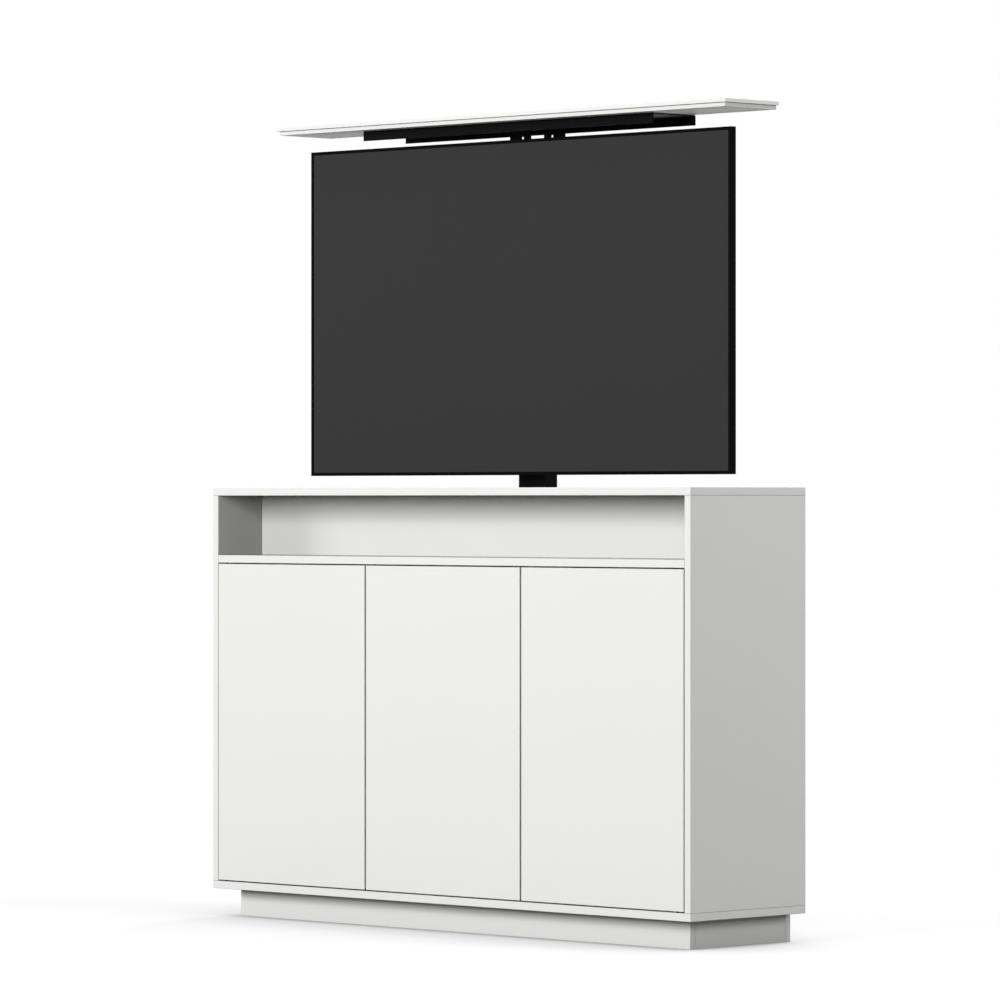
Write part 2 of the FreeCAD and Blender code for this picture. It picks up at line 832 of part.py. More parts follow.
def make_lid():
    fasteners = flange_screws() + channel_screws()
    half = channel_length / 2
    sheet = channel_sheet
    outside = block(-half, half, channel_front, channel_back, channel_under, lid_under)
    folds = [edge for edge in outside.Edges
             if abs(edge.tangentAt(0).x) > 0.9 and edge.CenterOfMass.z > web_under]
    outside = outside.makeFillet(sheet, folds)
    inside = block(-half, half, channel_front + sheet, channel_back - sheet,
                   channel_under, web_under)
    save("lid_channel", drilled(outside.cut(inside), fasteners))

    lower = panel(-lid_half, lid_half, lid_front, lid_back, lid_under, lid_seam, lid_arris)
    save("lid_lower_board", drilled(lower, fasteners))
    upper_half = lid_half + lid_overhang
    upper = panel(-upper_half, upper_half, lid_front - lid_overhang,
                  lid_back + lid_rear_overhang, lid_seam, lid_top, lid_arris)
    save("lid_upper_board", upper)
    save("lid_screws", *(fasteners + lid_plate_screws() + head_screws()))


# ---- television bracket --------------------------------------------------------------
def spine_bolts():
    reach = spine_bolt_spread / 2
    return [screw((x, spine_back, z), (0, 1, 0), spine_bolt)
            for x in (-reach, reach) for z in (bracket_low, bracket_high)]


def television_bolts():
    seat = bulge_back + hook_rail_sheet
    reach = bracket_spacing_x / 2
    return [screw((x, seat, z - television_bolt_drop), (0, 1, 0), television_bolt)
            for x in (-reach, reach) for z in (bracket_low, bracket_high)]


def hook(x0, z):
    """A hook plate that hangs a rail's side on the crossbar whose middle is at height z."""
    bar_top = z + crossbar_height / 2
    x1 = x0 + hook_rail_sheet
    inside_back = spine_front + hook_play
    plate = block(x0, x1, bulge_back, inside_back + hook_lip, bar_top - hook_drop,
                  bar_top + hook_rise)
    return plate.cut(block(x0, x1, rail_back, inside_back, bar_top - hook_drop, bar_top))


def rail_slots(x):
    """The row of slots in a rail's web, between the rail's two bolts."""
    half = rail_slot_width / 2
    slots = []
    for number in range(1, rail_slot_count + 1):
        share = number / (rail_slot_count + 1)
        z = bracket_low - television_bolt_drop + share * bracket_spacing_z
        slots.append(block(x - half, x + half, bulge_back, bulge_back + hook_rail_sheet,
                           z - rail_slot_length / 2, z + rail_slot_length / 2))
    return slots


def mount_rail(x):
    """A channel bolted upright to the set, with hooks on both sides for both crossbars."""
    sheet = hook_rail_sheet
    x0 = x - hook_rail_width / 2
    x1 = x + hook_rail_width / 2
    middle = (bracket_low + bracket_high) / 2
    z_low = middle - hook_rail_length / 2
    z_high = middle + hook_rail_length / 2
    channel = block(x0, x1, bulge_back, rail_back, z_low, z_high)
    groove = block(x0 + sheet, x1 - sheet, bulge_back + sheet, rail_back, z_low, z_high)
    hooks = [hook(side, z) for side in (x0, x1 - sheet) for z in (bracket_low, bracket_high)]
    rail = channel.cut(groove).fuse(hooks).removeSplitter()
    return drilled(rail, television_bolts() + rail_slots(x))


def make_bracketry():
    bolts = spine_bolts()
    half = spine_width / 2
    z0 = bracket_low - crossbar_height / 2 - spine_tail
    spine = panel(-half, half, spine_front, spine_back, z0, head_top, plate_arris)
    save("spine_plate", drilled(spine, bolts + head_screws()))

    bars = []
    wall = crossbar_wall
    bar_half = crossbar_length / 2
    for z in (bracket_low, bracket_high):
        z_low = z - crossbar_height / 2
        z_high = z + crossbar_height / 2
        bar = block(-bar_half, bar_half, rail_back, spine_front, z_low, z_high)
        hollow = block(-bar_half, bar_half, rail_back + wall, spine_front - wall,
                       z_low + wall, z_high - wall)
        bars.append(drilled(bar.cut(hollow), bolts))
    save("mount_crossbars", *bars)
    save("mount_rails", mount_rail(-bracket_spacing_x / 2), mount_rail(bracket_spacing_x / 2))
    save("mount_bolts", *(bolts + television_bolts()))


# ---- television ----------------------------------------------------------------------
def outline_at(width, height, depth, z_mid):
    """A rectangle facing the back at the given depth, as a wire for a loft."""
    y = from_front(depth)
    corners = []
    for x, z in ((-1, -1), (1, -1), (1, 1), (-1, 1)):
        corners.append(Vector(x * width / 2, y, z_mid + z * height / 2))
    return Part.makePolygon(corners + corners[:1])


def make_television():
    half = tv_width / 2
    inner = half - tv_side_bezel
    z0 = tv_bottom + tv_bezel
    z1 = tv_top - tv_bezel
    frame = panel(-half, half, tv_front, tv_back, tv_bottom, tv_top, tv_bezel_arris)
    window = block(-inner, inner, tv_front - 1, tv_back + 1, z0, z1)
    save("tv_bezel", frame.cut(window))

    save("tv_screen", block(-inner, inner, glass_front, glass_back, z0, z1))
    save("tv_display_module", block(-inner, inner, glass_back, module_back, z0, z1))

    save("tv_rear_cover", rear_cover(block(-inner, inner, module_back, tv_back, z0, z1)))


def bulge_form(inset, depth0, depth1):
    """The tapered block on the back of the set, or its inside where inset is the wall."""
    shrink = 2 * inset
    base = outline_at(bulge_width - shrink, bulge_height - shrink, depth0, bulge_middle)
    crown = outline_at(bulge_width - 2 * bulge_taper - shrink,
                       bulge_height - 2 * bulge_taper - shrink, depth1, bulge_middle)
    return Part.makeLoft([base, crown], True, True)


def vent_slots():
    """Level slots through the upper part of the cover's back, in two groups."""
    slots = []
    for side in (-1, 1):
        for column in range(vent_columns):
            x_far = side * (crown_half - vent_inset_x - column * vent_pitch_x)
            x_near = x_far - side * vent_length
            for row in range(vent_rows):
                z = crown_top - vent_inset_z - row * vent_pitch_z
                slots.append(block(min(x_far, x_near), max(x_far, x_near),
                                   bulge_back - bulge_wall, bulge_back, z - vent_width, z))
    return slots


def port_bay():
    """The sunk bay for the set's connectors: its walls, its space and the sockets in it."""
    x1 = crown_half - port_bay_inset
    x0 = x1 - port_bay_width
    z0 = crown_bottom + port_bay_rise
    z1 = z0 + port_bay_height
    floor = bulge_back - port_bay_depth
    wall = bulge_wall
    walls = block(x0 - wall, x1 + wall, floor - wall, bulge_back, z0 - wall, z1 + wall)
    space = block(x0, x1, floor, bulge_back, z0, z1)
    pitch = port_bay_height / (port_count + 1)
    x = (x0 + x1) / 2 - port_width / 2
    sockets = []
    for number in range(1, port_count + 1):
        z = z0 + number * pitch - port_height / 2
        sockets.append(block(x, x + port_width, floor - port_depth, floor, z, z + port_height))
    return walls, space, sockets


def rear_cover(plate):
    """The set's moulded back on its flat plate: a hollow bulge, vents, a bay and bosses."""
    inside_back = bulge_back - bulge_wall
    cavity = bulge_form(bulge_wall, module_back, inside_back)
    walls, space, sockets = port_bay()
    bolts = television_bolts()
    bosses = []
    for bolt in bolts:
        middle = bolt.BoundBox.Center
        start = (middle.x, module_back, middle.z)
        bosses.append(six_sided(boss_size, start, (0, 1, 0), inside_back - module_back))
    cavity = cavity.cut(Part.makeCompound([walls] + bosses))
    cover = plate.fuse(bulge_form(0, tv_back, bulge_back)).cut(cavity)
    cover = cover.cut(Part.makeCompound([space] + sockets + vent_slots())).removeSplitter()
    return drilled(cover, bolts)


make_plinth()
make_carcass()
make_top()
make_shelves()
make_back()
make_doors()
make_latches()
make_lift_base()
make_bracket()
make_control_box()
make_middle_stage()
make_head()
make_lid()
make_bracketry()
make_television()
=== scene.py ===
"""Looks of the TV lift cabinet: finishes, screws, drive, latches, sockets and light."""

import json
import math

import bmesh
import bpy
from mathutils import Matrix, Vector


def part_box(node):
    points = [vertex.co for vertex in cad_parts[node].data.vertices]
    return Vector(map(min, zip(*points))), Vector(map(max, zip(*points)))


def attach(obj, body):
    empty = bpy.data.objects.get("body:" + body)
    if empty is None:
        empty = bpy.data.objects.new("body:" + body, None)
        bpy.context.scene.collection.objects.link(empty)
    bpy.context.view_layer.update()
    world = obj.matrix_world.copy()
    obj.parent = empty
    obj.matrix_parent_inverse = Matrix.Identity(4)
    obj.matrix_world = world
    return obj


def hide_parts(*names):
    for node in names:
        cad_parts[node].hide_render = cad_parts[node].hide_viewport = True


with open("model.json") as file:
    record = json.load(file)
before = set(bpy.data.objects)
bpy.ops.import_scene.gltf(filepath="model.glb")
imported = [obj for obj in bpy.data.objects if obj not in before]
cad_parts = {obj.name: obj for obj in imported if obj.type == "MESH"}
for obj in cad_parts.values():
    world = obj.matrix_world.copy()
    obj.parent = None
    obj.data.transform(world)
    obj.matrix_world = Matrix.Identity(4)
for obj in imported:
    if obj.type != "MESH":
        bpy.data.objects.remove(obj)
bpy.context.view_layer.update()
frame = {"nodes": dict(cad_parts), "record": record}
nodes = frame["nodes"]

MM = 0.001
WHITE = (1.0, 1.0, 1.0, 1.0)


def new_object(name, data):
    """An object in the scene, at the origin."""
    made = bpy.data.objects.new(name, data)
    bpy.context.scene.collection.objects.link(made)
    return made


# ---- camera --------------------------------------------------------------------------
CAMERA_DISTANCE = 13.95
CAMERA_HEIGHT = 1.05
CAMERA_AZIMUTH = math.radians(45.0)
FOCAL_LENGTH = 205.08
SENSOR_WIDTH = 36.0


def make_camera():
    """A level camera to the front right, aimed at the cabinet's middle line."""
    data = bpy.data.cameras.new("camera")
    data.sensor_width = SENSOR_WIDTH
    data.sensor_fit = "HORIZONTAL"
    data.lens = FOCAL_LENGTH
    data.clip_start = 0.5
    data.clip_end = 60.0
    camera = new_object("camera", data)
    camera.location = (
        CAMERA_DISTANCE * math.sin(CAMERA_AZIMUTH),
        -CAMERA_DISTANCE * math.cos(CAMERA_AZIMUTH),
        CAMERA_HEIGHT,
    )
    camera.rotation_euler = (math.radians(90.0), 0.0, CAMERA_AZIMUTH)
    bpy.context.scene.camera = camera


# ---- shader helpers ------------------------------------------------------------------
def add_node(tree, kind, inputs=None, **settings):
    """A shader or geometry node with its settings and unlinked inputs filled in."""
    node = tree.nodes.new(kind)
    for name, value in settings.items():
        setattr(node, name, value)
    for name, value in (inputs or {}).items():
        node.inputs[name].default_value = value
    return node


def math_node(tree, operation, first, second=0.0):
    """A Math node; first and second are sockets or numbers.  Returns its output."""
    node = add_node(tree, "ShaderNodeMath", operation=operation)
    for index, value in enumerate((first, second)):
        if isinstance(value, (int, float)):
            node.inputs[index].default_value = value
        else:
            tree.links.new(value, node.inputs[index])
    return node.outputs[0]


def mix_colors(tree, factor, first, second):
    """A Mix node; first and second are sockets or RGB colors.  Returns its output."""
    node = add_node(tree, "ShaderNodeMix", data_type="RGBA")
    tree.links.new(factor, node.inputs["Factor"])
    for name, value in (("A", first), ("B", second)):
        if isinstance(value, tuple):
            node.inputs[name].default_value = (*value, 1.0)
        else:
            tree.links.new(value, node.inputs[name])
    return node.outputs["Result"]


def scaled(color, share):
    """The color with each channel multiplied by share."""
    return tuple(channel * share for channel in color)


def new_material(name):
    """A node material that is still empty, with its tree and output node."""
    material = bpy.data.materials.new(name)
    material.use_nodes = True
    tree = material.node_tree
    tree.nodes.clear()
    return material, tree, add_node(tree, "ShaderNodeOutputMaterial")


def new_group(name, inputs, outputs):
    """A shader node group; inputs are (name, kind, default) and outputs (name, kind)."""
    group = bpy.data.node_groups.new(name, "ShaderNodeTree")
    for label, kind, default in inputs:
        socket = group.interface.new_socket(label, in_out="INPUT", socket_type=kind)
        socket.default_value = default
    for label, kind in outputs:
        group.interface.new_socket(label, in_out="OUTPUT", socket_type=kind)
    return group, add_node(group, "NodeGroupInput"), add_node(group, "NodeGroupOutput")


def make_surface_group():
    """Fine grain: a height from small noise and a slow change of tone over the piece."""
    group, source, sink = new_group(
        "surface_grain",
        (("Grain Size", "NodeSocketFloat", 0.002),
         ("Cloud Size", "NodeSocketFloat", 0.4)),
        (("Height", "NodeSocketFloat"), ("Cloud", "NodeSocketFloat")),
    )
    place = add_node(group, "ShaderNodeTexCoord")
    fine = add_node(group, "ShaderNodeTexNoise", {"Detail": 2.0, "Roughness": 0.5})
    slow = add_node(group, "ShaderNodeTexNoise", {"Detail": 1.5, "Roughness": 0.4})
    link = group.links.new
    for noise, size in ((fine, "Grain Size"), (slow, "Cloud Size")):
        link(place.outputs["Object"], noise.inputs["Vector"])
        scale = math_node(group, "DIVIDE", 1.0, source.outputs[size])
        link(scale, noise.inputs["Scale"])
    height = math_node(group, "SUBTRACT", fine.outputs["Fac"], 0.5)
    link(height, sink.inputs["Height"])
    link(slow.outputs["Fac"], sink.inputs["Cloud"])
    return group


# The rounded and the true normal differ by this much, as a cosine, where an edge starts
# and where it is full.
EDGE_BEND = (0.995, 0.9)
# How open a joint is where its painted shade starts and where it is full.
JOINT_SHADE_OPENING = (0.85, 0.4)


def make_edge_group():
    """Softened edges, and a faint shade painted into narrow joints.

    Normal rounds the sharp edges over Edge Radius, Edge is 1 along them, and the joint
    output, a painted shade, is 1 deep in a gap narrower than the joint reach.
    """
    group, source, sink = new_group(
        "edge_shade",
        (("Edge Radius", "NodeSocketFloat", 0.6 * MM),
         ("Joint Shade Reach", "NodeSocketFloat", 3.0 * MM)),
        (("Normal", "NodeSocketVector"), ("Edge", "NodeSocketFloat"),
         ("Joint Shade", "NodeSocketFloat")),
    )
    link = group.links.new
    rounded = add_node(group, "ShaderNodeBevel", samples=4)
    surface = add_node(group, "ShaderNodeNewGeometry")
    agree = add_node(group, "ShaderNodeVectorMath", operation="DOT_PRODUCT")
    edge = add_node(group, "ShaderNodeMapRange",
                    {"From Min": EDGE_BEND[0], "From Max": EDGE_BEND[1]})
    near = add_node(group, "ShaderNodeAmbientOcclusion", samples=8)
    joint = add_node(group, "ShaderNodeMapRange",
                     {"From Min": JOINT_SHADE_OPENING[0], "From Max": JOINT_SHADE_OPENING[1]})
    link(source.outputs["Edge Radius"], rounded.inputs["Radius"])
    link(rounded.outputs["Normal"], agree.inputs[0])
    link(surface.outputs["True Normal"], agree.inputs[1])
    link(agree.outputs["Value"], edge.inputs["Value"])
    link(source.outputs["Joint Shade Reach"], near.inputs["Distance"])
    link(near.outputs["AO"], joint.inputs["Value"])
    link(rounded.outputs["Normal"], sink.inputs["Normal"])
    link(edge.outputs["Result"], sink.inputs["Edge"])
    link(joint.outputs["Result"], sink.inputs["Joint Shade"])
    return group


# ---- finishes ------------------------------------------------------------------------
SURFACE = make_surface_group()
EDGES = make_edge_group()
# How much smoother the edges are, and how far the roughness drifts across a piece.
EDGE_POLISH = 0.08
GLOSS_SPREAD = 0.05

# Each finish is its color, its roughness, the size and height of its grain in metres, and
# what else plain_material is told about it.
# Painted shade: some finishes darken their tone deep in narrow gaps and joints.
LACQUER = {"spread": 0.008, "specular": 0.2, "edge_radius": 0.6 * MM, "bounce": 0.08}
FINISHES = {
    "white_lacquer": ((0.838, 0.841, 0.815), 0.42, 0.003, 0.00003,
                      {**LACQUER, "joint": 0.75}),
    # Painted shade: the plinth's lacquer is a little darker than the white, for the shade
    # under the cabinet's overhang, and it has no joint shade.
    "plinth_shaded_lacquer": ((0.805, 0.808, 0.783), 0.42, 0.003, 0.00003, LACQUER),
    "white_back_board": ((0.80, 0.80, 0.775), 0.6, 0.0012, 0.00005, {"spread": 0.01}),
    "black_steel": ((0.0035, 0.0035, 0.0035), 0.5, 0.0008, 0.00003,
                    {"spread": 0.2, "specular": 0.04, "edge_radius": 0.5 * MM}),
    "zinc_steel": ((0.60, 0.61, 0.60), 0.34, 0.0015, 0.00003,
                   {"spread": 0.08, "metal": 1.0}),
    "bright_steel": ((0.62, 0.62, 0.61), 0.25, 0.001, 0.00002,
                     {"spread": 0.06, "metal": 1.0}),
    "cast_aluminium": ((0.50, 0.51, 0.52), 0.52, 0.0014, 0.0001,
                       {"spread": 0.06, "metal": 0.9, "edge_radius": 1.0 * MM,
                        "joint": 0.5}),
    "nut_brass": ((0.72, 0.54, 0.25), 0.32, 0.001, 0.00003,
                  {"spread": 0.06, "metal": 1.0}),
    "black_plastic": ((0.010, 0.010, 0.010), 0.55, 0.0009, 0.00004,
                      {"spread": 0.1, "specular": 0.2, "edge_radius": 0.8 * MM}),
    "grey_plastic": ((0.42, 0.42, 0.41), 0.5, 0.001, 0.00005,
                     {"spread": 0.05, "edge_radius": 0.5 * MM, "joint": 0.5}),
    "bezel_plastic": ((0.0025, 0.0025, 0.0025), 0.4, 0.001, 0.00001,
                      {"spread": 0.1, "specular": 0.02}),
    "screen_face": ((0.038, 0.038, 0.038), 0.5, 0.0006, 0.000005,
                    {"spread": 0.02, "specular": 0.03}),
}


def plain_material(name, color, roughness, grain, depth, spread, metal=0.0, specular=0.5,
                   edge_radius=0.0, joint=0.0, bounce=1.0):
    """A Principled finish whose tone, gloss and bump come from the surface group.

    grain is the bump's grain size and depth its height; spread is how far the tone
    drifts across the piece.  An edge_radius above 0 rounds the edges, and the joint shade
    is how much darker the tone is painted deep in a narrow gap.  bounce is the share of
    the tone that light passes on from this surface to its neighbours.
    """
    material, tree, out = new_material(name + "_finish")
    link = tree.links.new
    shader = add_node(tree, "ShaderNodeBsdfPrincipled",
                      {"Metallic": metal, "Specular IOR Level": specular})
    surface = add_node(tree, "ShaderNodeGroup", node_tree=SURFACE)
    surface.inputs["Grain Size"].default_value = grain
    bump = add_node(tree, "ShaderNodeBump", {"Strength": 1.0, "Distance": depth})
    link(surface.outputs["Height"], bump.inputs["Height"])
    tone = mix_colors(tree, surface.outputs["Cloud"], scaled(color, 1.0 - spread),
                      scaled(color, 1.0 + spread))
    rough = add_node(tree, "ShaderNodeMapRange", {
        "To Min": roughness - GLOSS_SPREAD, "To Max": roughness + GLOSS_SPREAD})
    link(surface.outputs["Cloud"], rough.inputs["Value"])
    gloss = rough.outputs["Result"]
    if edge_radius:
        edges = add_node(tree, "ShaderNodeGroup", node_tree=EDGES)
        edges.inputs["Edge Radius"].default_value = edge_radius
        link(edges.outputs["Normal"], bump.inputs["Normal"])
        # Painted shade: the tone darkens in narrow gaps, where ambient occlusion finds a
        # close surface.
        tone = mix_colors(tree, edges.outputs["Joint Shade"], tone, scaled(color, 1.0 - joint))
        worn = math_node(tree, "MULTIPLY", edges.outputs["Edge"], -EDGE_POLISH)
        gloss = math_node(tree, "ADD", gloss, worn)
    if bounce < 1.0:
        path = add_node(tree, "ShaderNodeLightPath")
        tone = mix_colors(tree, path.outputs["Is Diffuse Ray"], tone,
                          scaled(color, bounce))
    link(tone, shader.inputs["Base Color"])
    link(gloss, shader.inputs["Roughness"])
    link(bump.outputs["Normal"], shader.inputs["Normal"])
    link(shader.outputs["BSDF"], out.inputs["Surface"])
    return material


def make_materials():
    """One material for each finish on the cabinet, lift and television."""
    return {name: plain_material(name, color, roughness, grain, depth, **settings)
            for name, (color, roughness, grain, depth, settings) in FINISHES.items()}


def dress_nodes():
    """Gives every CAD node the finish of its own slot in the record, but the plinth a
    darker lacquer that paints in its shade.
    """
    for part in frame["record"]["subparts"]:
        mesh = nodes[part["node"]].data
        if not mesh.materials:
            mesh.materials.append(None)
        finish = part["material_slot"]
        # Painted shade: the plinth nodes take the darker lacquer.
        if part["node"].startswith("plinth_"):
            finish = "plinth_shaded_lacquer"
        for index in range(len(mesh.materials)):
            mesh.materials[index] = finishes[finish]


# ---- geometry helpers ----------------------------------------------------------------
MERGE_DISTANCE = 0.01 * MM
SMOOTH_BELOW = math.radians(35.0)


def new_piece(name, mesh, finish=None):
    """A piece at the origin, from a mesh or bmesh that already lies in its place."""
    if isinstance(mesh, bmesh.types.BMesh):
        source, mesh = mesh, bpy.data.meshes.new(name)
        source.to_mesh(mesh)
        source.free()
    if finish is not None:
        mesh.materials.append(finish)
    return new_object(name, mesh)


def smooth(piece):
    """Smooth shading that keeps the sharper edges."""
    for polygon in piece.data.polygons:
        polygon.use_smooth = True
    piece.data.set_sharp_from_angle(angle=SMOOTH_BELOW)


def add_block(mesh, low, high, bevel=0.0):
    """A box between two corners, its edges broken by bevel, added to a bmesh."""
    size = [b - a for a, b in zip(low, high)]
    middle = [(a + b) / 2 for a, b in zip(low, high)]
    place = Matrix.Translation(middle) @ Matrix.Diagonal((*size, 1.0))
    corners = bmesh.ops.create_cube(mesh, size=1.0, matrix=place)["verts"]
    if bevel:
        edges = dict.fromkeys(edge for corner in corners for edge in corner.link_edges)
        bmesh.ops.bevel(mesh, geom=list(edges), offset=bevel, segments=2, profile=0.5,
                        affect="EDGES")


def add_turned(mesh, profile, centre, axis, sides=48):
    """A closed turned form added to a bmesh: profile is (distance along axis, radius)."""
    turn = Vector(axis).to_track_quat("Z", "Y").to_matrix().to_4x4()
    place = Matrix.Translation(centre) @ turn
    rings = []
    for along, radius in profile:
        steps = sides if radius > 0.0 else 1
        ring = []
        for step in range(steps):
            angle = 2.0 * math.pi * step / steps
            point = Vector((radius * math.cos(angle), radius * math.sin(angle), along))
            ring.append(mesh.verts.new(place @ point))
        rings.append(ring)
    for first, second in zip(rings, rings[1:]):
        for step in range(sides):
            after = (step + 1) % sides
            if len(first) == 1:
                corners = (first[0], second[after], second[step])
            elif len(second) == 1:
                corners = (first[step], first[after], second[0])
            else:
                corners = (first[step], first[after], second[after], second[step])
            mesh.faces.new(corners)


def groove(start, radius, depth, slope, width):
    """A groove in a turned profile; slope is how far each of its sides runs."""
    return [(start, radius), (start + slope, radius - depth),
            (start + width - slope, radius - depth), (start + width, radius)]


def solids_of(node):
    """The corners of each solid in a CAD node, from a merged copy of its mesh."""
    mesh = bmesh.new()
    mesh.from_mesh(nodes[node].data)
    bmesh.ops.remove_doubles(mesh, verts=mesh.verts, dist=MERGE_DISTANCE)
    seen = set()
    solids = []
    for start in mesh.verts:
        if start in seen:
            continue
        seen.add(start)
        found = [start]
        for corner in found:
            for edge in corner.link_edges:
                other = edge.other_vert(corner)
                if other not in seen:
                    seen.add(other)
                    found.append(other)
        solids.append([corner.co.copy() for corner in found])
    mesh.free()
    return solids


# ---- Geometry Nodes ------------------------------------------------------------------
def new_geometry_tree(name, inputs):
    """A Geometry Nodes tree with named inputs, given as (name, kind, default)."""
    tree = bpy.data.node_groups.new(name, "GeometryNodeTree")
    add_socket = tree.interface.new_socket
    add_socket("Geometry", in_out="INPUT", socket_type="NodeSocketGeometry")
    for label, kind, default in inputs:
        socket = add_socket(label, in_out="INPUT", socket_type=kind)
        if default is not None:
            socket.default_value = default
    add_socket("Geometry", in_out="OUTPUT", socket_type="NodeSocketGeometry")
    return tree, add_node(tree, "NodeGroupInput"), add_node(tree, "NodeGroupOutput")


def on_points(tree, source, form, chosen=None):
    """Puts a form on the seed's points.  Returns the node that does it."""
    spread = add_node(tree, "GeometryNodeInstanceOnPoints")
    tree.links.new(source.outputs["Geometry"], spread.inputs["Points"])
    tree.links.new(form, spread.inputs["Instance"])
    if chosen is not None:
        tree.links.new(chosen, spread.inputs["Selection"])
    return spread


def finish_tree(tree, source, sink, geometry):
    """Ends a tree in Realize Instances and Set Material."""
    real = add_node(tree, "GeometryNodeRealizeInstances")
    paint = add_node(tree, "GeometryNodeSetMaterial")
    tree.links.new(geometry, real.inputs["Geometry"])
    tree.links.new(real.outputs["Geometry"], paint.inputs["Geometry"])
    tree.links.new(source.outputs["Finish"], paint.inputs["Material"])
    tree.links.new(paint.outputs["Geometry"], sink.inputs["Geometry"])


def grow(tree, seed, name, values):
    """Runs a tree on a seed mesh and returns what it makes as a plain piece."""
    carrier = new_object(name + "_seed", seed)
    modifier = carrier.modifiers.new("grow", "NODES")
    modifier.node_group = tree
    for item in tree.interface.items_tree:
        if item.in_out == "INPUT" and item.name in values:
            modifier[item.identifier] = values[item.name]
    depsgraph = bpy.context.evaluated_depsgraph_get()
    mesh = bpy.data.meshes.new_from_object(
        carrier.evaluated_get(depsgraph), depsgraph=depsgraph)
    bpy.data.objects.remove(carrier)
    return new_piece(name, mesh)


# ---- screws and bolts ----------------------------------------------------------------
HEAD_SIDES = 32
SHANK_SIDES = 16
# Each step of the crown: its share of the crown's height, and the power of Crown Width
# that it narrows by.
CROWN_STEPS = ((0.6, 0.35), (0.4, 1.0))
# The cross is this many recess radii long.
CROSS_LENGTH = 2.2
# A head wider than this, measured from its middle, has a hexagon socket.
SOCKET_BOLT_FROM = 4.8 * MM
LEVEL_TOLERANCE = 0.1 * MM


def make_fastener_tree():
    """A crowned head with a hexagon or cross recess and a shank, at every seed point.

    The forms are a unit in size; each point carries the vectors aim, head_size and
    shank_size that turn and stretch them, and socket_head, which picks the recess.
    """
    tree, source, sink = new_geometry_tree("fasteners", (
        ("Crown Start", "NodeSocketFloat", 0.45),
        ("Crown Width", "NodeSocketFloat", 0.78),
        ("Recess Radius", "NodeSocketFloat", 0.48),
        ("Recess Depth", "NodeSocketFloat", 0.55),
        ("Cross Width", "NodeSocketFloat", 0.26),
        ("Finish", "NodeSocketMaterial", None),
    ))
    link = tree.links.new
    value = source.outputs
    head = crowned_drum(tree, value)

    deep = math_node(tree, "MULTIPLY", value["Recess Depth"], 2.0)
    hexagon = add_node(tree, "GeometryNodeMeshCylinder", {"Vertices": 6},
                       fill_type="NGON")
    link(value["Recess Radius"], hexagon.inputs["Radius"])
    link(deep, hexagon.inputs["Depth"])
    long_side = math_node(tree, "MULTIPLY", value["Recess Radius"], CROSS_LENGTH)
    short_side = value["Cross Width"]
    cross = []
    for wide, tall in ((long_side, short_side), (short_side, long_side)):
        size = add_node(tree, "ShaderNodeCombineXYZ")
        bar = add_node(tree, "GeometryNodeMeshCube")
        for name, side in (("X", wide), ("Y", tall), ("Z", deep)):
            link(side, size.inputs[name])
        link(size.outputs[0], bar.inputs["Size"])
        cross.append(bar.outputs["Mesh"])

    parts = add_node(tree, "GeometryNodeJoinGeometry")
    picks = add_node(tree, "GeometryNodeInputNamedAttribute", {"Name": "socket_head"},
                     data_type="BOOLEAN")
    crossed = add_node(tree, "FunctionNodeBooleanMath", operation="NOT")
    link(picks.outputs["Attribute"], crossed.inputs[0])
    for tools, chosen in (([hexagon.outputs["Mesh"]], picks.outputs["Attribute"]),
                          (cross, crossed.outputs[0])):
        cut = add_node(tree, "GeometryNodeMeshBoolean", operation="DIFFERENCE",
                       solver="EXACT")
        link(head, cut.inputs["Mesh 1"])
        for tool in tools:
            raised = add_node(tree, "GeometryNodeTransform", {"Translation": (0, 0, 1)})
            link(tool, raised.inputs["Geometry"])
            link(raised.outputs["Geometry"], cut.inputs["Mesh 2"])
        link(aimed_at_points(tree, source, cut.outputs["Mesh"], "head_size", chosen),
             parts.inputs["Geometry"])

    rod = add_node(tree, "GeometryNodeMeshCylinder",
                   {"Vertices": SHANK_SIDES, "Radius": 1.0, "Depth": 1.0},
                   fill_type="NGON")
    hung = add_node(tree, "GeometryNodeTransform", {"Translation": (0.0, 0.0, -0.5)})
    link(rod.outputs["Mesh"], hung.inputs["Geometry"])
    link(aimed_at_points(tree, source, hung.outputs["Geometry"], "shank_size"),
         parts.inputs["Geometry"])
    finish_tree(tree, source, sink, parts.outputs["Geometry"])
    return tree


def crowned_drum(tree, value):
    """A round head of unit radius and height, narrowed in steps towards its top."""
    link = tree.links.new
    drum = add_node(tree, "GeometryNodeMeshCylinder",
                    {"Vertices": HEAD_SIDES, "Radius": 1.0}, fill_type="NGON")
    lift = add_node(tree, "ShaderNodeCombineXYZ")
    seated = add_node(tree, "GeometryNodeTransform")
    link(value["Crown Start"], drum.inputs["Depth"])
    link(math_node(tree, "MULTIPLY", value["Crown Start"], 0.5), lift.inputs["Z"])
    link(drum.outputs["Mesh"], seated.inputs["Geometry"])
    link(lift.outputs[0], seated.inputs["Translation"])
    geometry, top = seated.outputs["Geometry"], drum.outputs["Top"]
    left = math_node(tree, "SUBTRACT", 1.0, value["Crown Start"])
    for share, power in CROWN_STEPS:
        step = add_node(tree, "GeometryNodeExtrudeMesh", {"Individual": False},
                        mode="FACES")
        shrink = add_node(tree, "GeometryNodeScaleElements", domain="FACE")
        link(geometry, step.inputs["Mesh"])
        link(top, step.inputs["Selection"])
        link(math_node(tree, "MULTIPLY", left, share), step.inputs["Offset Scale"])
        link(step.outputs["Mesh"], shrink.inputs["Geometry"])
        link(step.outputs["Top"], shrink.inputs["Selection"])
        width = math_node(tree, "POWER", value["Crown Width"], power)
        link(width, shrink.inputs["Scale"])
        geometry, top = shrink.outputs["Geometry"], step.outputs["Top"]
    return geometry


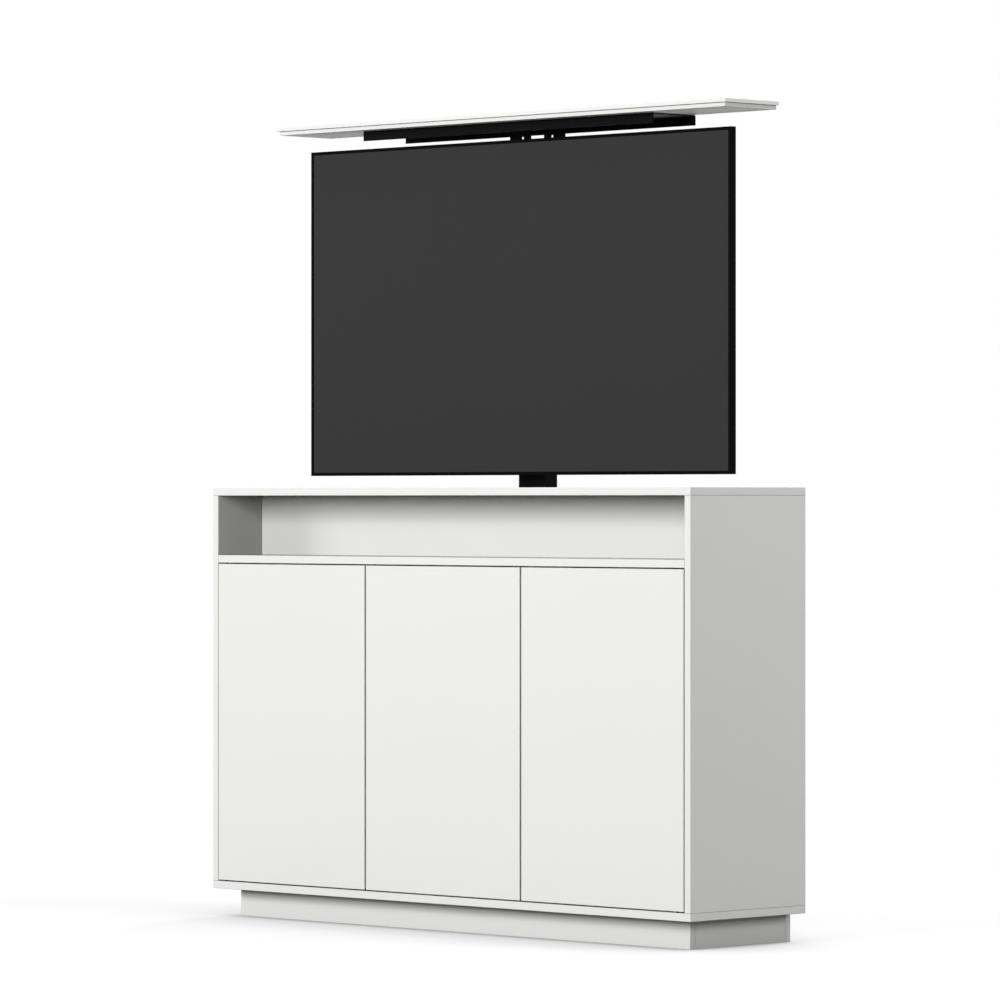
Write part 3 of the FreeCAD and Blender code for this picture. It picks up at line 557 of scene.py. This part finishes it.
def aimed_at_points(tree, source, form, size_name, chosen=None):
    """Puts a unit form on the seed's points, turned to aim and stretched by size_name."""
    aim, size = (add_node(tree, "GeometryNodeInputNamedAttribute", {"Name": name},
                          data_type="FLOAT_VECTOR") for name in ("aim", size_name))
    turn = add_node(tree, "FunctionNodeAlignRotationToVector", axis="Z")
    spread = on_points(tree, source, form, chosen)
    tree.links.new(aim.outputs["Attribute"], turn.inputs["Vector"])
    tree.links.new(turn.outputs["Rotation"], spread.inputs["Rotation"])
    tree.links.new(size.outputs["Attribute"], spread.inputs["Scale"])
    return spread.outputs["Instances"]


def read_fastener(corners):
    """The seat, head direction, head size and shank size of a hexagonal CAD screw."""
    for axis in range(3):
        levels = sorted({round(corner[axis], 5) for corner in corners})
        if len(levels) == 3:
            break
    centre = sum(corners, Vector()) / len(corners)
    reach = []
    for level in (levels[0], levels[2]):
        flat = [corner - centre for corner in corners
                if abs(corner[axis] - level) < LEVEL_TOLERANCE]
        for offset in flat:
            offset[axis] = 0.0
        reach.append(max(offset.length for offset in flat))
    side = 1 if reach[1] > reach[0] else -1
    head_end, shank_end = (levels[2], levels[0]) if side > 0 else (levels[0], levels[2])
    seat = centre.copy()
    seat[axis] = levels[1]
    aim = Vector()
    aim[axis] = side
    head = (max(reach), max(reach), abs(head_end - levels[1]))
    shank = (min(reach), min(reach), abs(shank_end - levels[1]))
    return seat, aim, head, shank


def fastener_size(head_radius, head_height, shank_radius, shank_length):
    """The head size and shank size of a fastener that is given in millimetres."""
    return ((head_radius * MM, head_radius * MM, head_height * MM),
            (shank_radius * MM, shank_radius * MM, shank_length * MM))


def corner_fasteners(low, high, inset, aim, size):
    """Four fasteners near the corners of the face that a box turns towards aim."""
    axis = [abs(part) for part in aim].index(1)
    first, second = (other for other in range(3) if other != axis)
    seat = [0.0, 0.0, 0.0]
    seat[axis] = high[axis] if aim[axis] > 0 else low[axis]
    found = []
    for seat[first] in (low[first] + inset, high[first] - inset):
        for seat[second] in (low[second] + inset, high[second] - inset):
            found.append((tuple(seat), aim, *size))
    return found


def seed_points(name, fasteners):
    """A mesh of loose points that carry what the fastener tree reads."""
    seed = bpy.data.meshes.new(name)
    seed.from_pydata([fastener[0] for fastener in fasteners], [], [])
    for index, label in enumerate(("aim", "head_size", "shank_size"), start=1):
        values = seed.attributes.new(label, "FLOAT_VECTOR", "POINT")
        for item, fastener in zip(values.data, fasteners):
            item.vector = fastener[index]
    sockets = seed.attributes.new("socket_head", "BOOLEAN", "POINT")
    for item, fastener in zip(sockets.data, fasteners):
        item.value = fastener[2][0] > SOCKET_BOLT_FROM
    return seed


def make_fasteners(tree, name, fasteners, body, slot, *replaced):
    """One piece for a set of fasteners; it may stand for CAD nodes."""
    piece = grow(tree, seed_points(name, fasteners), name, {"Finish": finishes[slot]})
    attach(piece, body)
    if replaced:
        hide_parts(*replaced)


def make_screws(tree):
    """The CAD's hexagonal screws again, with turned heads and their recesses."""
    for node, name, body in (
            ("carcass_screws", "carcass_screw_set", "cabinet"),
            ("lid_screws", "lid_screw_set", "lift_head"),
            ("mount_bolts", "mount_bolt_set", "lift_head")):
        found = [read_fastener(corners) for corners in solids_of(node)]
        make_fasteners(tree, name, found, body, "zinc_steel", node)


COVER_SCREW = fastener_size(3.2, 1.4, 1.4, 5.0)
COVER_SCREW_INSET = 12 * MM
COVER_SCREW_COLUMNS = 7
COVER_SCREW_ROWS = 4


def make_cover_screws(tree):
    """Small black screws round the edge of the television's back."""
    low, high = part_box("tv_rear_cover")
    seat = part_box("tv_bezel")[1][1]
    left, right = low[0] + COVER_SCREW_INSET, high[0] - COVER_SCREW_INSET
    bottom, top = low[2] + COVER_SCREW_INSET, high[2] - COVER_SCREW_INSET
    places = []
    for number in range(COVER_SCREW_COLUMNS):
        x = left + (right - left) * number / (COVER_SCREW_COLUMNS - 1)
        places += [(x, seat, bottom), (x, seat, top)]
    for number in range(1, COVER_SCREW_ROWS):
        z = bottom + (top - bottom) * number / COVER_SCREW_ROWS
        places += [(left, seat, z), (right, seat, z)]
    found = [(place, (0.0, 1.0, 0.0), *COVER_SCREW) for place in places]
    make_fasteners(tree, "tv_cover_screws", found, "lift_head", "black_steel")


# ---- spindle -------------------------------------------------------------------------
THREAD_PITCH = 4 * MM
THREAD_STARTS = 3
THREAD_DEPTH = 1.6 * MM
# Where a thread's flank starts and ends, as shares of the pitch from the crest's middle.
THREAD_FLANK = (0.14, 0.36)
THREAD_SIDES = 24
# The rings of the mesh in each pitch.
THREAD_STEPS = 5
JOURNAL_LENGTH = 12 * MM


def make_thread_tree():
    """A round bar with a left-hand thread of several starts, plain at both its ends."""
    tree, source, sink = new_geometry_tree("threaded_bar", (
        ("Radius", "NodeSocketFloat", 0.007),
        ("Length", "NodeSocketFloat", 0.1),
        ("Rings", "NodeSocketInt", 100),
        ("Pitch", "NodeSocketFloat", THREAD_PITCH),
        ("Starts", "NodeSocketFloat", THREAD_STARTS),
        ("Depth", "NodeSocketFloat", THREAD_DEPTH),
        ("Journal", "NodeSocketFloat", JOURNAL_LENGTH),
        ("Finish", "NodeSocketMaterial", None),
    ))
    link = tree.links.new
    value = source.outputs
    bar = add_node(tree, "GeometryNodeMeshCylinder", {"Vertices": THREAD_SIDES},
                   fill_type="NGON")
    link(value["Rings"], bar.inputs["Side Segments"])
    link(value["Radius"], bar.inputs["Radius"])
    link(value["Length"], bar.inputs["Depth"])

    at = add_node(tree, "GeometryNodeInputPosition")
    axes = add_node(tree, "ShaderNodeSeparateXYZ")
    link(at.outputs[0], axes.inputs[0])
    angle = math_node(tree, "ARCTAN2", axes.outputs["Y"], axes.outputs["X"])
    turn = math_node(tree, "DIVIDE", math_node(tree, "MULTIPLY", angle, value["Starts"]),
                     2.0 * math.pi)
    along = math_node(tree, "DIVIDE", axes.outputs["Z"], value["Pitch"])
    phase = math_node(tree, "FRACT", math_node(tree, "ADD", along, turn))
    ramp = math_node(tree, "ABSOLUTE", math_node(tree, "SUBTRACT", phase, 0.5))
    flank = add_node(tree, "ShaderNodeMapRange",
                     {"From Min": THREAD_FLANK[0], "From Max": THREAD_FLANK[1]})
    link(ramp, flank.inputs["Value"])
    height = math_node(tree, "ABSOLUTE", axes.outputs["Z"])
    half = math_node(tree, "MULTIPLY", value["Length"], 0.5)
    plain_from = math_node(tree, "SUBTRACT", half, value["Journal"])
    threaded = math_node(tree, "LESS_THAN", height, plain_from)
    share_cut = math_node(tree, "MULTIPLY", flank.outputs["Result"], threaded)
    cut = math_node(tree, "MULTIPLY", share_cut, value["Depth"])
    share_lost = math_node(tree, "DIVIDE", cut, value["Radius"])
    share = math_node(tree, "SUBTRACT", 1.0, share_lost)
    place = add_node(tree, "ShaderNodeCombineXYZ")
    link(math_node(tree, "MULTIPLY", axes.outputs["X"], share), place.inputs["X"])
    link(math_node(tree, "MULTIPLY", axes.outputs["Y"], share), place.inputs["Y"])
    link(axes.outputs["Z"], place.inputs["Z"])
    move = add_node(tree, "GeometryNodeSetPosition")
    link(bar.outputs["Mesh"], move.inputs["Geometry"])
    link(place.outputs[0], move.inputs["Position"])
    spread = on_points(tree, source, move.outputs["Geometry"])
    finish_tree(tree, source, sink, spread.outputs["Instances"])
    return tree


def make_spindle():
    """The lift spindle with its thread, where the CAD's plain bar stands."""
    low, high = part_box("spindle")
    length = high.z - low.z
    seed = bpy.data.meshes.new("spindle_middle")
    seed.from_pydata([(low + high) / 2], [], [])
    piece = grow(make_thread_tree(), seed, "threaded_spindle", {
        "Radius": (high.x - low.x) / 2, "Length": length,
        "Rings": round(length / THREAD_PITCH * THREAD_STEPS),
        "Finish": finishes["bright_steel"]})
    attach(piece, "spindle")
    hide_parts("spindle")


# ---- drive ---------------------------------------------------------------------------
MOTOR_RADIUS = 23 * MM
FLANGE_THICKNESS = 6 * MM
FLANGE_BEVEL = 1.2 * MM
BOSS_RADIUS = 16 * MM
# How far the can, its cap and the cover plate reach into what they are fixed to.
SEAT_DEPTH = 0.5 * MM
CAN_GROOVE = {"depth": 0.8 * MM, "slope": 0.5 * MM, "width": 2.2 * MM}
CAN_CHAMFER = 0.8 * MM
CAP_LENGTH = 24 * MM
CAP_RADIUS = MOTOR_RADIUS - 1.2 * MM
CAP_GROOVES = 5
CAP_GROOVE_PITCH = 3.2 * MM
CAP_GROOVE = {"depth": 0.8 * MM, "slope": 0.4 * MM, "width": 1.8 * MM}

FLANGE_BOLT = fastener_size(4.0, 3.2, 2.4, 14)
FLANGE_BOLT_INSET = 6.5 * MM
BOX_SCREW = fastener_size(3.0, 1.6, 1.4, 9)
BOX_SCREW_INSET = 13 * MM
PLATE_BOLT = fastener_size(3.2, 2.4, 1.8, 8)
PLATE_BOLT_INSET = 6 * MM
# How far the gearbox's cover plate stays inside the gearbox's front, across and upward.
PLATE_INSET = (16 * MM, 8 * MM)
PLATE_THICKNESS = 2 * MM
PLATE_BEVEL = 0.6 * MM


def make_motor():
    """The motor's flange and grooved can, and the ribbed cap on the end of the can."""
    low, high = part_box("drive_motor")
    root = Vector((low.x, (low.y + high.y) / 2, (low.z + high.z) / 2))
    length = high.x - low.x
    can_end = length - CAP_LENGTH
    body = bmesh.new()
    add_block(body, low, (low.x + FLANGE_THICKNESS, high.y, high.z), FLANGE_BEVEL)
    start = FLANGE_THICKNESS - SEAT_DEPTH
    boss_end = FLANGE_THICKNESS + 3 * MM
    can_start = FLANGE_THICKNESS + 3.4 * MM
    profile = [(start, 0.0), (start, BOSS_RADIUS), (boss_end, BOSS_RADIUS),
               (can_start, BOSS_RADIUS - 0.4 * MM), (can_start, MOTOR_RADIUS - 1.5 * MM),
               (FLANGE_THICKNESS + 5 * MM, MOTOR_RADIUS)]
    for place in (26 * MM, 30 * MM, can_end - 10 * MM):
        profile += groove(place, MOTOR_RADIUS, **CAN_GROOVE)
    profile += [(can_end - CAN_CHAMFER, MOTOR_RADIUS),
                (can_end, MOTOR_RADIUS - CAN_CHAMFER), (can_end, 0.0)]
    add_turned(body, profile, root, (1, 0, 0))
    motor = new_piece("motor_body", body, finishes["black_steel"])
    smooth(motor)
    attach(motor, "cabinet")
    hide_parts("drive_motor")

    cap = bmesh.new()
    start = can_end - SEAT_DEPTH
    profile = [(start, 0.0), (start, CAP_RADIUS)]
    for number in range(CAP_GROOVES):
        profile += groove(can_end + 3 * MM + number * CAP_GROOVE_PITCH, CAP_RADIUS,
                          **CAP_GROOVE)
    profile += [(length - 4 * MM, CAP_RADIUS), (length - 2.4 * MM, CAP_RADIUS - 1 * MM),
                (length - 1 * MM, MOTOR_RADIUS - 4 * MM), (length - 1 * MM, 8 * MM),
                (length, 7 * MM), (length, 0.0)]
    add_turned(cap, profile, root, (1, 0, 0))
    end_cap = new_piece("motor_end_cap", cap, finishes["black_plastic"])
    smooth(end_cap)
    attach(end_cap, "cabinet")


def make_gearbox_cover():
    """A cover plate on the front of the gearbox.  Returns its two corners."""
    box_low, box_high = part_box("gearbox")
    across, upward = PLATE_INSET
    low = (box_low.x + across, box_low.y - PLATE_THICKNESS, box_low.z + upward)
    high = (box_high.x - across, box_low.y + SEAT_DEPTH, box_high.z - upward)
    plate = bmesh.new()
    add_block(plate, low, high, PLATE_BEVEL)
    cover = new_piece("gearbox_cover", plate, finishes["cast_aluminium"])
    smooth(cover)
    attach(cover, "cabinet")
    return low, high


def make_drive(tree):
    """The motor and gearbox cover, with the bolts of the drive and the control box."""
    make_motor()
    cover_low, cover_high = make_gearbox_cover()
    low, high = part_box("drive_motor")
    flange_high = (low.x + FLANGE_THICKNESS, high.y, high.z)
    bolts = corner_fasteners(low, flange_high, FLANGE_BOLT_INSET, (1, 0, 0), FLANGE_BOLT)
    bolts += corner_fasteners(*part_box("control_box"), BOX_SCREW_INSET, (0, 0, 1),
                              BOX_SCREW)
    bolts += corner_fasteners(cover_low, cover_high, PLATE_BOLT_INSET, (0, -1, 0),
                              PLATE_BOLT)
    make_fasteners(tree, "drive_bolt_set", bolts, "cabinet", "zinc_steel")


# ---- latches -------------------------------------------------------------------------
# The necks' distances from the tip, and the rounding of the tip.
NECKS = (8 * MM, 5.5 * MM)
NECK_GROOVE = {"depth": 0.6 * MM, "slope": 0.3 * MM, "width": 1.5 * MM}
PIN_CHAMFER = 0.5 * MM
TIP_RADIUS = 2.5 * MM
TIP_STEPS = 5
PIN_SIDES = 40


def make_plungers():
    """Push-latch plungers with a ringed neck and a rounded tip."""
    for side in ("left", "middle", "right"):
        low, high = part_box("latch_plunger_" + side)
        radius = (high.x - low.x) / 2
        length = high.y - low.y
        profile = [(0.0, 0.0), (0.0, radius - PIN_CHAMFER), (PIN_CHAMFER, radius)]
        for neck in NECKS:
            profile += groove(length - neck, radius, **NECK_GROOVE)
        for step in range(TIP_STEPS + 1):
            angle = math.radians(90.0 * step / TIP_STEPS)
            profile.append((length - TIP_RADIUS + TIP_RADIUS * math.sin(angle),
                            radius - TIP_RADIUS + TIP_RADIUS * math.cos(angle)))
        profile.append((length, 0.0))
        mesh = bmesh.new()
        root = ((low.x + high.x) / 2, high.y, (low.z + high.z) / 2)
        add_turned(mesh, profile, root, (0, -1, 0), PIN_SIDES)
        piece = new_piece("latch_pin_" + side, mesh, finishes["grey_plastic"])
        smooth(piece)
        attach(piece, "latch_" + side)
        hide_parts("latch_plunger_" + side)


# ---- television connectors -----------------------------------------------------------
PORT_COUNT = 4
PORT_PITCH = 20 * MM
PORT_BAY_MIDDLE = (400 * MM, 1241 * MM)
PORT_BAY_DEPTH = 11 * MM
# A shell's width, depth and height, its wall, and the share of its depth that is open.
PORT_SHELL = (14.6 * MM, 1.9 * MM, 5.6 * MM)
PORT_WALL = 0.5 * MM
PORT_OPEN = 0.8
# A tongue's width and root as shares of its shell, and the rest of it in metres.
TONGUE_WIDTH = 0.72
TONGUE_ROOT = 0.95
TONGUE_SETBACK = 0.4 * MM
TONGUE_BELOW = 0.5 * MM
TONGUE_ABOVE = 0.6 * MM
TONGUE_BEVEL = 0.1 * MM


def make_connectors():
    """Metal-shelled connectors, each with its tongue, in the sockets of the port bay."""
    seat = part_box("tv_rear_cover")[1].y - PORT_BAY_DEPTH
    shells = bmesh.new()
    tongues = bmesh.new()
    wide, deep, tall = PORT_SHELL
    x, middle = PORT_BAY_MIDDLE
    reach = TONGUE_WIDTH / 2 * wide
    for number in range(PORT_COUNT):
        z = middle + (number - (PORT_COUNT - 1) / 2) * PORT_PITCH
        kept = set(shells.faces)
        add_block(shells, (x - wide / 2, seat - deep, z - tall / 2),
                  (x + wide / 2, seat, z + tall / 2))
        front = [face for face in shells.faces
                 if face not in kept
                 and face.calc_center_median().y > seat - LEVEL_TOLERANCE]
        bmesh.ops.inset_region(shells, faces=front, thickness=PORT_WALL,
                               use_even_offset=True)
        sunk = bmesh.ops.extrude_discrete_faces(shells, faces=front)["faces"]
        corners = list({corner for face in sunk for corner in face.verts})
        bmesh.ops.translate(shells, verts=corners, vec=(0.0, -deep * PORT_OPEN, 0.0))
        add_block(tongues, (x - reach, seat - deep * TONGUE_ROOT, z - TONGUE_BELOW),
                  (x + reach, seat - TONGUE_SETBACK, z + TONGUE_ABOVE), TONGUE_BEVEL)
    for name, mesh, finish in (("port_shells", shells, "zinc_steel"),
                               ("port_tongues", tongues, "black_plastic")):
        piece = new_piece(name, mesh, finishes[finish])
        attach(piece, "lift_head")


# ---- light, floor and background -----------------------------------------------------
# Each softbox is its name, place, the point that it faces, its size, its power, and
# whether it shows in glossy surfaces.
SOFTBOXES = (
    ("key", (0.4, -8.5, 3.15), (0.0, 0.0, 1.0), (2.4, 4.1), 490.0, True),
    ("left_fill", (-10.5, -7.0, 3.4), (0.0, 0.0, 1.0), (4.0, 4.0), 620.0, False),
    ("right_front", (8.0, -8.3, 3.3), (0.0, 0.0, 1.0), (2.4, 4.1), 215.0, False),
    ("right_fill", (6.5, 3.0, 2.5), (0.0, 0.0, 1.5), (2.0, 2.4), 148.0, False),
    ("right_top", (4.2, 0.75, 7.8), (0.0, 0.0, 1.0), (2.0, 2.0), 170.0, False),
    ("top", (0.0, -0.5, 5.0), (0.0, -0.5, 0.0), (4.0, 4.0), 57.0, False),
    ("rear", (-3.0, 8.5, 3.5), (0.0, 0.0, 1.0), (3.0, 3.0), 420.0, False),
)
FLOOR_HALF = 30.0
# What the floor scatters to the camera and to the cabinet, and what it adds of its own.
FLOOR_SEEN = 0.35
FLOOR_BOUNCE = 0.18
FLOOR_LIFT = 0.73
# How near the cabinet its contact shadow starts on the floor, and how dark it gets.
CONTACT_REACH = 0.42
CONTACT_SHADE = 0.84
# The floor's shadows fade out between these two distances from the cabinet's middle.
SHADE_RADIUS = 1.7
WHITE_RADIUS = 3.4


def add_softbox(name, place, target, size, power, in_gloss):
    """A rectangular area lamp turned towards its target."""
    data = bpy.data.lights.new(name, "AREA")
    data.shape = "RECTANGLE"
    data.size, data.size_y = size
    data.energy = power
    light = new_object(name, data)
    light.location = place
    aim = Vector(target) - Vector(place)
    light.rotation_euler = aim.to_track_quat("-Z", "Y").to_euler()
    light.visible_glossy = in_gloss


def show_ray(tree):
    """1 for rays from the camera or through a mirror or glass, 0 for those that light."""
    path = add_node(tree, "ShaderNodeLightPath")
    seen = math_node(tree, "MAXIMUM", path.outputs["Is Camera Ray"],
                     path.outputs["Is Glossy Ray"])
    return math_node(tree, "MAXIMUM", seen, path.outputs["Is Transmission Ray"])


def make_world():
    """A white surround to look at, that sheds no light of its own."""
    world = bpy.data.worlds.new("studio")
    bpy.context.scene.world = world
    world.use_nodes = True
    tree = world.node_tree
    tree.nodes.clear()
    out = add_node(tree, "ShaderNodeOutputWorld")
    white = add_node(tree, "ShaderNodeBackground", {"Color": WHITE})
    tree.links.new(show_ray(tree), white.inputs["Strength"])
    tree.links.new(white.outputs[0], out.inputs["Surface"])


def make_floor():
    """A white floor with the contact shadow near the cabinet, plain white further out."""
    mesh = bpy.data.meshes.new("floor")
    corners = [(x * FLOOR_HALF, y * FLOOR_HALF, 0.0)
               for x, y in ((-1, -1), (1, -1), (1, 1), (-1, 1))]
    mesh.from_pydata(corners, [], [(0, 1, 2, 3)])
    material, tree, out = new_material("floor_white")
    link = tree.links.new
    seen = show_ray(tree)

    near = add_node(tree, "ShaderNodeAmbientOcclusion", {"Distance": CONTACT_REACH},
                    samples=8)
    hidden = math_node(tree, "SUBTRACT", 1.0, near.outputs["AO"])
    gathered = math_node(tree, "POWER", hidden, 2.0)
    shade = math_node(tree, "MULTIPLY", gathered, CONTACT_SHADE)
    open_share = math_node(tree, "SUBTRACT", 1.0, shade)
    tone = add_node(tree, "ShaderNodeMapRange",
                    {"To Min": FLOOR_BOUNCE, "To Max": FLOOR_SEEN})
    lifted = math_node(tree, "MULTIPLY", seen, FLOOR_LIFT)
    matt = add_node(tree, "ShaderNodeBsdfDiffuse")
    lift = add_node(tree, "ShaderNodeEmission", {"Color": WHITE})
    shaded = add_node(tree, "ShaderNodeAddShader")
    link(seen, tone.inputs["Value"])
    link(math_node(tree, "MULTIPLY", tone.outputs["Result"], open_share),
         matt.inputs["Color"])
    link(math_node(tree, "MULTIPLY", lifted, open_share), lift.inputs["Strength"])
    link(matt.outputs[0], shaded.inputs[0])
    link(lift.outputs[0], shaded.inputs[1])

    place = add_node(tree, "ShaderNodeTexCoord")
    radius = add_node(tree, "ShaderNodeVectorMath", operation="LENGTH")
    far = add_node(tree, "ShaderNodeMapRange",
                   {"From Min": SHADE_RADIUS, "From Max": WHITE_RADIUS},
                   interpolation_type="SMOOTHSTEP")
    white = add_node(tree, "ShaderNodeEmission", {"Color": WHITE, "Strength": 1.0})
    mix = add_node(tree, "ShaderNodeMixShader")
    link(place.outputs["Object"], radius.inputs[0])
    link(radius.outputs["Value"], far.inputs["Value"])
    link(math_node(tree, "MULTIPLY", far.outputs["Result"], seen), mix.inputs["Fac"])
    link(shaded.outputs[0], mix.inputs[1])
    link(white.outputs[0], mix.inputs[2])
    link(mix.outputs[0], out.inputs["Surface"])
    floor = new_piece("floor", mesh, material)


def make_light():
    """The surround, the floor and the lamps."""
    make_world()
    make_floor()
    for softbox in SOFTBOXES:
        add_softbox(*softbox)


make_camera()
finishes = make_materials()
dress_nodes()
fastener_tree = make_fastener_tree()
make_screws(fastener_tree)
make_cover_screws(fastener_tree)
make_spindle()
make_drive(fastener_tree)
make_plungers()
make_connectors()
make_light()

settings = bpy.context.scene.view_settings
settings.view_transform = "Standard"
